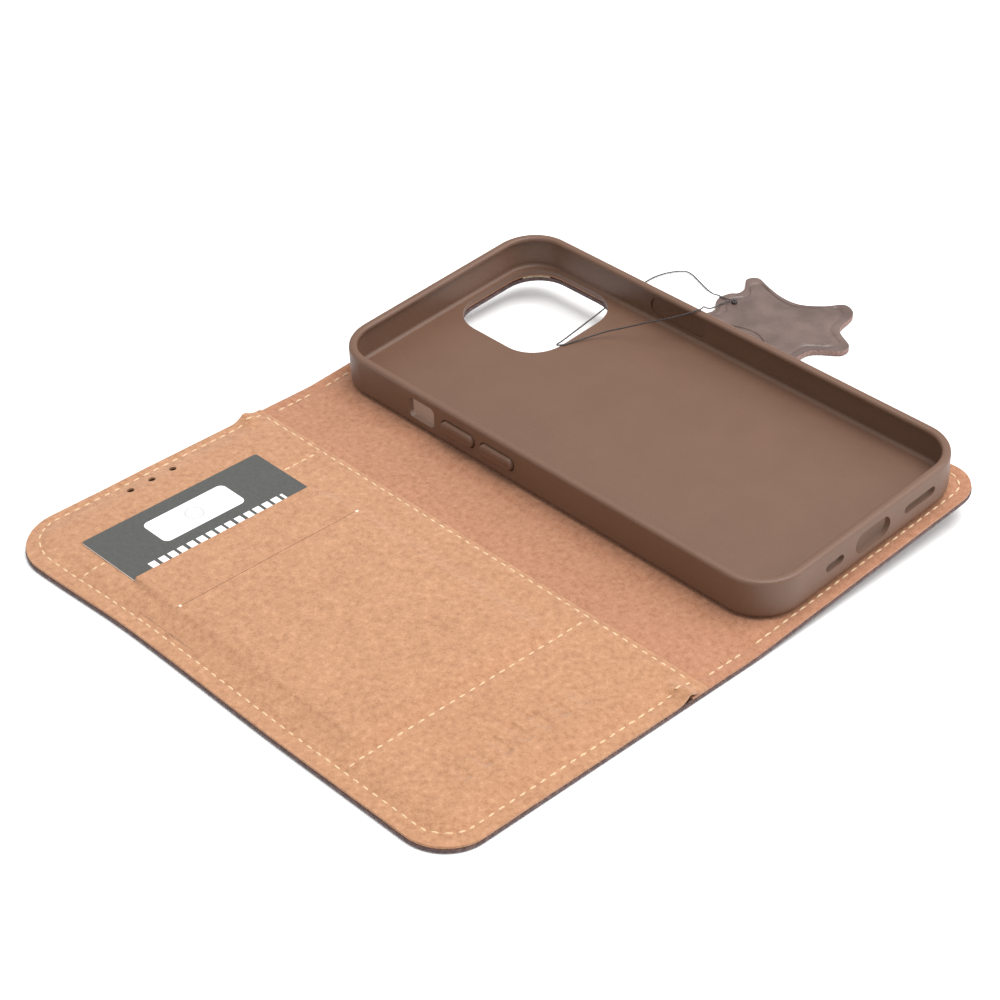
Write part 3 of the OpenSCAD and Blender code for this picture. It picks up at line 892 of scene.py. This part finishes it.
def moulded_brown(dark, light):
    def paint(place):
        cloud = place.grain(11 * MM, 3)
        stipple = place.grain(0.35 * MM, 2)
        return {
            "Base Color": (0.4 * cloud + 0.6 * stipple).ramp(0.3, 0.7).tint(dark, light),
            "Roughness": 0.42 + 0.16 * stipple,
            "Bump": (stipple, 0.05 * MM),
        }
    return paint


def extrude_to(depth, widen_x=1.0, widen_y=1.0):
    bpy.ops.mesh.extrude_region_move(TRANSFORM_OT_translate={"value": (0, 0, -depth)})
    bpy.ops.transform.resize(value=(widen_x, widen_y, 1), center_override=(0, 0, 0))


tray = rounded_block(
    "phone_tray_moulding", (-TRAY_W / 2, -TRAY_L / 2, 0), (TRAY_W / 2, TRAY_L / 2, TRAY_H), 2, TRAY_R, 16,
)
inner_w, inner_l = TRAY_W - 2 * WALL_T, TRAY_L - 2 * WALL_T
pick("FACE", lambda f: f.normal.z > 0.9)
bpy.ops.mesh.inset(thickness=WALL_T + LIP_REACH, depth=0)
extrude_to(1.0 * MM)
extrude_to(0.7 * MM, inner_w / (inner_w - 2 * LIP_REACH), inner_l / (inner_l - 2 * LIP_REACH))
extrude_to(TRAY_H - 1.7 * MM - FLOOR_T)


def ring_at(z, near, far):
    """Picks the level edges at this height that lie so far inside the tray's outline."""
    def wanted(edge):
        return all(
            abs(v.co.z - z) < 0.01 * MM
            and near < edge_depth(abs(v.co.x), v.co.y, TRAY_W / 2, TRAY_L / 2, TRAY_R) < far
            for v in edge.verts
        )
    pick("EDGE", wanted)


ring_at(FLOOR_T, MM, 9 * MM)
bpy.ops.mesh.bevel(offset=1.0 * MM, segments=4, affect="EDGES")
pick("FACE", lambda f: f.normal.z > 0.99 and abs(f.calc_center_median().z - FLOOR_T) < 0.01 * MM)
bpy.ops.mesh.inset(thickness=0.4 * MM, depth=0)
ring_at(0, -0.1 * MM, 0.1 * MM)
bpy.ops.mesh.bevel(offset=1.6 * MM, segments=4, affect="EDGES")
ring_at(TRAY_H, -0.1 * MM, 0.1 * MM)
bpy.ops.mesh.bevel(offset=0.9 * MM, segments=4, affect="EDGES")
ring_at(TRAY_H, 2 * MM, 2.6 * MM)
bpy.ops.mesh.bevel(offset=0.7 * MM, segments=3, affect="EDGES")
bpy.ops.object.mode_set(mode="OBJECT")
cut(tray, hole_cutter(HOLE_MID[0], -MM, 4 * MM))


def wall_slot(side, y, length, height, near, far, radius=None):
    """A slot with round ends through a long wall, between two distances from the middle."""
    ends = sorted((side * near, side * far))
    low = (ends[0], y - length / 2, KEY_Z - height / 2)
    high = (ends[1], y + length / 2, KEY_Z + height / 2)
    return rounded_block("cutter", low, high, 0, radius or 0.499 * height, 8)


KEYS = {
    "volume_up": (-1, 27 * MM, 11.6 * MM),
    "volume_down": (-1, 13 * MM, 11.6 * MM),
    "power": (1, 19.8 * MM, 17.6 * MM),
}
KEY_H = 3.6 * MM
SKIN = TRAY_W / 2 - 0.6 * MM
SWITCH_Y, SWITCH_L, SWITCH_R = 40.4 * MM, 9.2 * MM, 1.4 * MM
WINDOW_GAP, FLANGE_GAP = 0.6 * MM, 1.8 * MM
within_wall, past_wall = TRAY_W / 2 - 3 * MM, TRAY_W / 2 + MM
cut(tray, wall_slot(-1, SWITCH_Y, SWITCH_L, PORT_H, within_wall, past_wall, SWITCH_R))
for side, y, length in KEYS.values():
    cut(tray, wall_slot(side, y, length + WINDOW_GAP, KEY_H + WINDOW_GAP, within_wall, past_wall))
    cut(tray, wall_slot(side, y, length + FLANGE_GAP, KEY_H + FLANGE_GAP, within_wall, SKIN))
PORTS = ((0.6 * MM, 12.6 * MM, PORT_H), (-13.2 * MM, 6.4 * MM, 2.4 * MM), (18 * MM, 11.4 * MM, 2.4 * MM))
for x, width, height in PORTS:
    low = (x - width / 2, -TRAY_L / 2 - MM, KEY_Z - height / 2)
    high = (x + width / 2, -TRAY_L / 2 + 3 * MM, KEY_Z + height / 2)
    cut(tray, rounded_block("cutter", low, high, 1, 0.499 * height, 8))
BROWN_PLASTIC = material("brown_plastic", moulded_brown(linear(95, 67, 51), linear(101, 73, 56)))
close(tray, BROWN_PLASTIC, 35)
apply(tray, "WEIGHTED_NORMAL", keep_sharp=True)
move(tray, on_tray)
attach(tray, "phone_holder")
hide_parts("phone_tray")


# ---- Volume and power keys ----
# Each key is a bar of the same plastic that stands a little proud of the wall, on a flange
# that keeps it from falling out; its outer edge is rounded for the thumb.
for name, (side, y, length) in KEYS.items():
    face = TRAY_W / 2 + 0.8 * MM
    back = SKIN - 0.1 * MM
    key = wall_slot(side, y, length, KEY_H, back - 0.2 * MM, face)
    pick("FACE", lambda f: f.normal.x * side > 0.9)
    bpy.ops.mesh.inset(thickness=0.9 * MM, depth=0.15 * MM)
    pick("EDGE", lambda e: all(abs(v.co.x * side - face) < 0.01 * MM for v in e.verts))
    bpy.ops.mesh.bevel(offset=0.6 * MM, segments=4, affect="EDGES")
    close(key, BROWN_PLASTIC, 40)
    flange = wall_slot(side, y, length + 1.6 * MM, KEY_H + 1.6 * MM, back - 0.4 * MM, back)
    pick("FACE", lambda f: abs(f.normal.x) > 0.9)
    bpy.ops.mesh.inset(thickness=0.2 * MM, depth=0)
    close(flange, BROWN_PLASTIC, 40)
    key = joined(name + "_bar", [key, flange])
    move(key, on_tray)
    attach(key, name)
    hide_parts(name + "_key")


# ---- Card ----
# A stiff matt card with a printed white panel near its top and a row of small white marks
# under it; its cut edge is pale.
card_low, card_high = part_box("shield_card")
card_x = (card_low.x + card_high.x) / 2
label_y = card_high.y - 9.3 * MM
LABEL_HALF_W, LABEL_HALF_H, LABEL_R = 12.4 * MM, 4.9 * MM, 1.7 * MM
marks_y = CARD_SLOT + 1.5 * MM
MARK_PITCH = 2.9 * MM


def printed_grey(place):
    x = place.node("ShaderNodeSeparateXYZ", None, {0: place}, out=0)
    y = place.node("ShaderNodeSeparateXYZ", None, {0: place}, out=1)
    side = ((x - card_x).maths("ABSOLUTE") - (LABEL_HALF_W - LABEL_R)).maths("MAXIMUM", 0.0)
    rise = ((y - label_y).maths("ABSOLUTE") - (LABEL_HALF_H - LABEL_R)).maths("MAXIMUM", 0.0)
    reach = (side * side + rise * rise).maths("SQRT")
    panel_mask = 1 - reach.ramp(LABEL_R - 0.1 * MM, LABEL_R + 0.1 * MM)
    ring = within((x - card_x) * (x - card_x) + (y - label_y) * (y - label_y), 5.3e-6, 1.3e-6, 2e-7)
    rule = within(y, label_y, 0.16 * MM) * within((x - card_x).maths("ABSOLUTE"), 6.3 * MM, 3 * MM)
    row = within(y, marks_y, 1.45 * MM) * within(x, card_x - 0.5 * MM, 21 * MM)
    pitch = (x * (1 / MARK_PITCH)).maths("FRACT")
    bars = within(pitch, 0.5, 0.24 + 0.18 * x.grain(2 * MM, 0), 0.03)
    ink = place.grain(0.8 * MM, 2)
    grey = ink.ramp(0.3, 0.7).tint(linear(68, 69, 66), linear(74, 75, 72))
    label = panel_mask * (1 - 0.55 * (ring + rule).maths("MINIMUM", 1.0))
    white = (label + row * bars).maths("MINIMUM", 1.0)
    return {
        "Base Color": white.node(
            "ShaderNodeMix", {"data_type": "RGBA"}, {0: white, 6: grey, 7: linear(246, 246, 248)}, out=2
        ),
        "Roughness": 0.45 + 0.1 * ink,
    }


def pale_board(place):
    return {"Base Color": place.grain(0.5 * MM, 2).tint(linear(226, 226, 224), linear(246, 246, 244))}


card = rounded_block("scan_card", card_low, card_high, 2, 0.8 * MM, 4)
pick("FACE", lambda f: abs(f.normal.z) > 0.9)
bpy.ops.mesh.inset(thickness=0.25 * MM, depth=0)
close(card, material("printed_card", printed_grey, specular_ior_level=0.4))
card.data.materials.append(material("card_edge", pale_board, roughness=0.7))
for face in card.data.polygons:
    face.material_index = int(abs(face.normal.z) < 0.5)
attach(card, "card")
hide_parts("shield_card")


# ---- Stitching ----
# Cream waxed thread in a running lockstitch: round both covers and across the spine's
# ends, above and below the slots, and along the lip of the pocket sheet.
STITCH, STITCH_HALF_L = 3.05 * MM, 1.15 * MM


def waxed_cream(place):
    twist = place.grain(0.3 * MM, 2)
    return {
        "Base Color": twist.ramp(0.3, 0.7).tint(linear(182, 146, 108), linear(214, 186, 150)),
        "Bump": (twist, 0.08 * MM),
    }


CREAM_THREAD = material("cream_thread", waxed_cream, roughness=0.6, sheen_weight=0.2)
bpy.ops.object.select_all(action="DESELECT")
bpy.ops.mesh.primitive_uv_sphere_add(segments=8, ring_count=7, radius=1, rotation=(0, math.pi / 2, 0))
stitch = begin("stitch")
bpy.ops.object.mode_set(mode="OBJECT")
for vert in stitch.data.vertices:
    x, y, z = vert.co
    arch = 1 - x * x
    half_wide = (0.26 + 0.04 * arch) * MM
    sink = 0.14 * MM * (1 - arch)
    vert.co = Vector((STITCH_HALF_L * x, half_wide * y, 0.2 * MM * z - sink))


def walk(line, step):
    """Places about one stitch apart along a run of points, each with the way it heads."""
    total = sum((b - a).length for a, b in zip(line, line[1:]))
    count = round(total / step)
    found, reach, passed = [], total / count / 2, 0
    for a, b in zip(line, line[1:]):
        size = (b - a).length
        while reach <= passed + size and size > 0:
            found.append((a.lerp(b, (reach - passed) / size), (b - a).normalized()))
            reach += total / count
        passed += size
    return found


def sew(name, runs, place, body, replaced):
    """Lays stitches along flat runs of points and moves them to a cover. A run is given with
    the side it is seen from: 1 above, -1 below."""
    seam = bmesh.new()
    wobble = random.Random(name)
    for line, seen in runs:
        for middle, heading in walk(line, STITCH):
            across = Vector((-heading.y, heading.x, 0)) * seen
            turn = Matrix((
                (heading.x, across.x, 0, middle.x), (heading.y, across.y, 0, middle.y),
                (0, 0, seen, middle.z), (0, 0, 0, 1),
            ))
            copy = stitch.data.copy()
            copy.transform(turn @ Matrix.Rotation(wobble.uniform(-0.06, 0.06), 4, "Z"))
            seam.from_mesh(copy)
            bpy.data.meshes.remove(copy)
    mesh = bpy.data.meshes.new(name)
    seam.to_mesh(mesh)
    seam.free()
    run = bpy.data.objects.new(name, mesh)
    bpy.context.collection.objects.link(run)
    close(run, CREAM_THREAD, 60)
    move(run, place)
    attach(run, body)
    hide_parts(replaced)


def round_cover(side, width, start, z):
    """The seam's line round a cover's three free edges."""
    half_y, reach = cover_half - SEAM_IN, width - SEAM_IN
    steps_round = 8
    line = [Vector((side * start, -half_y, z))]
    for end in (-1, 1):
        corner = corner_of(side, end) - SEAM_IN
        for k in range(steps_round + 1):
            quarter = k / steps_round
            angle = math.radians(90 * (quarter if end > 0 else 1 - quarter))
            line.append(Vector((
                side * (reach - corner + corner * math.cos(angle)),
                end * (half_y - corner + corner * math.sin(angle)), z,
            )))
    line.append(Vector((side * start, half_y, z)))
    return line


def laid(line, top):
    """A run of points cut into short steps, each brought to the surface of a lining."""
    run = [line[0]]
    for a, b in zip(line, line[1:]):
        count = max(1, round((b - a).length / (1.5 * MM)))
        run += [a.lerp(b, i / count) for i in range(1, count + 1)]
    return [Vector((p.x, p.y, top(p).z - SUNK)) for p in run], 1


SUNK = 0.02 * MM
ON_TOP = EDGE_TOP - 0.1 * MM
UNDER = 0.17 * MM
EDGE_START = 2.4 * MM
sew("front_edge_stitches", [
    laid(round_cover(-1, front_w, EDGE_START, 0), front_top),
    (round_cover(-1, front_w, EDGE_START, UNDER), -1),
], on_front, "front_cover", "front_edge_thread")
sew("back_edge_stitches", [
    (round_cover(1, back_w, EDGE_START, ON_TOP), 1),
    (round_cover(1, back_w, EDGE_START, UNDER), -1),
], on_back, "phone_holder", "back_edge_thread")
FOLD_CLEAR = 2 * MM
spine_runs = []
for y in (-cover_half + SEAM_IN, cover_half - SEAM_IN):
    ends = (front_fold_x + FOLD_CLEAR, back_fold_x - FOLD_CLEAR)
    spine_runs.append(([Vector((ends[0], y, ON_TOP)), Vector((ends[1], y, ON_TOP))], 1))
    spine_runs.append(([Vector((ends[0], y, UNDER)), Vector((ends[1], y, UNDER))], -1))
sew("spine_edge_stitches", spine_runs, lambda co: co, "spine", "spine_edge_thread")


def on_sheet(start, end):
    """A straight run across the pocket sheet, from one (u, y) to another."""
    return laid([Vector((-u, y, 0)) for u, y in (start, end)], front_top)


SEAM_START = 4.4 * MM
seam_end = front_w - SEAM_START
lip_end = cover_half - SEAM_START
card_gap = 27.6 * MM
sew("upper_seam_stitches", [
    on_sheet((SEAM_START, UPPER_SEAM), (POCKET_MID - card_gap, UPPER_SEAM)),
    on_sheet((POCKET_MID + card_gap, UPPER_SEAM), (seam_end, UPPER_SEAM)),
], on_front, "front_cover", "upper_seam_thread")
sew("lower_seam_stitches", [
    on_sheet((SEAM_START, LOWER_SEAM), (seam_end, LOWER_SEAM)),
], on_front, "front_cover", "lower_seam_thread")
sew("lip_stitches", [
    on_sheet((LIP_SEAM, -lip_end), (LIP_SEAM, lip_end)),
], on_front, "front_cover", "lip_thread")
bpy.data.objects.remove(stitch)
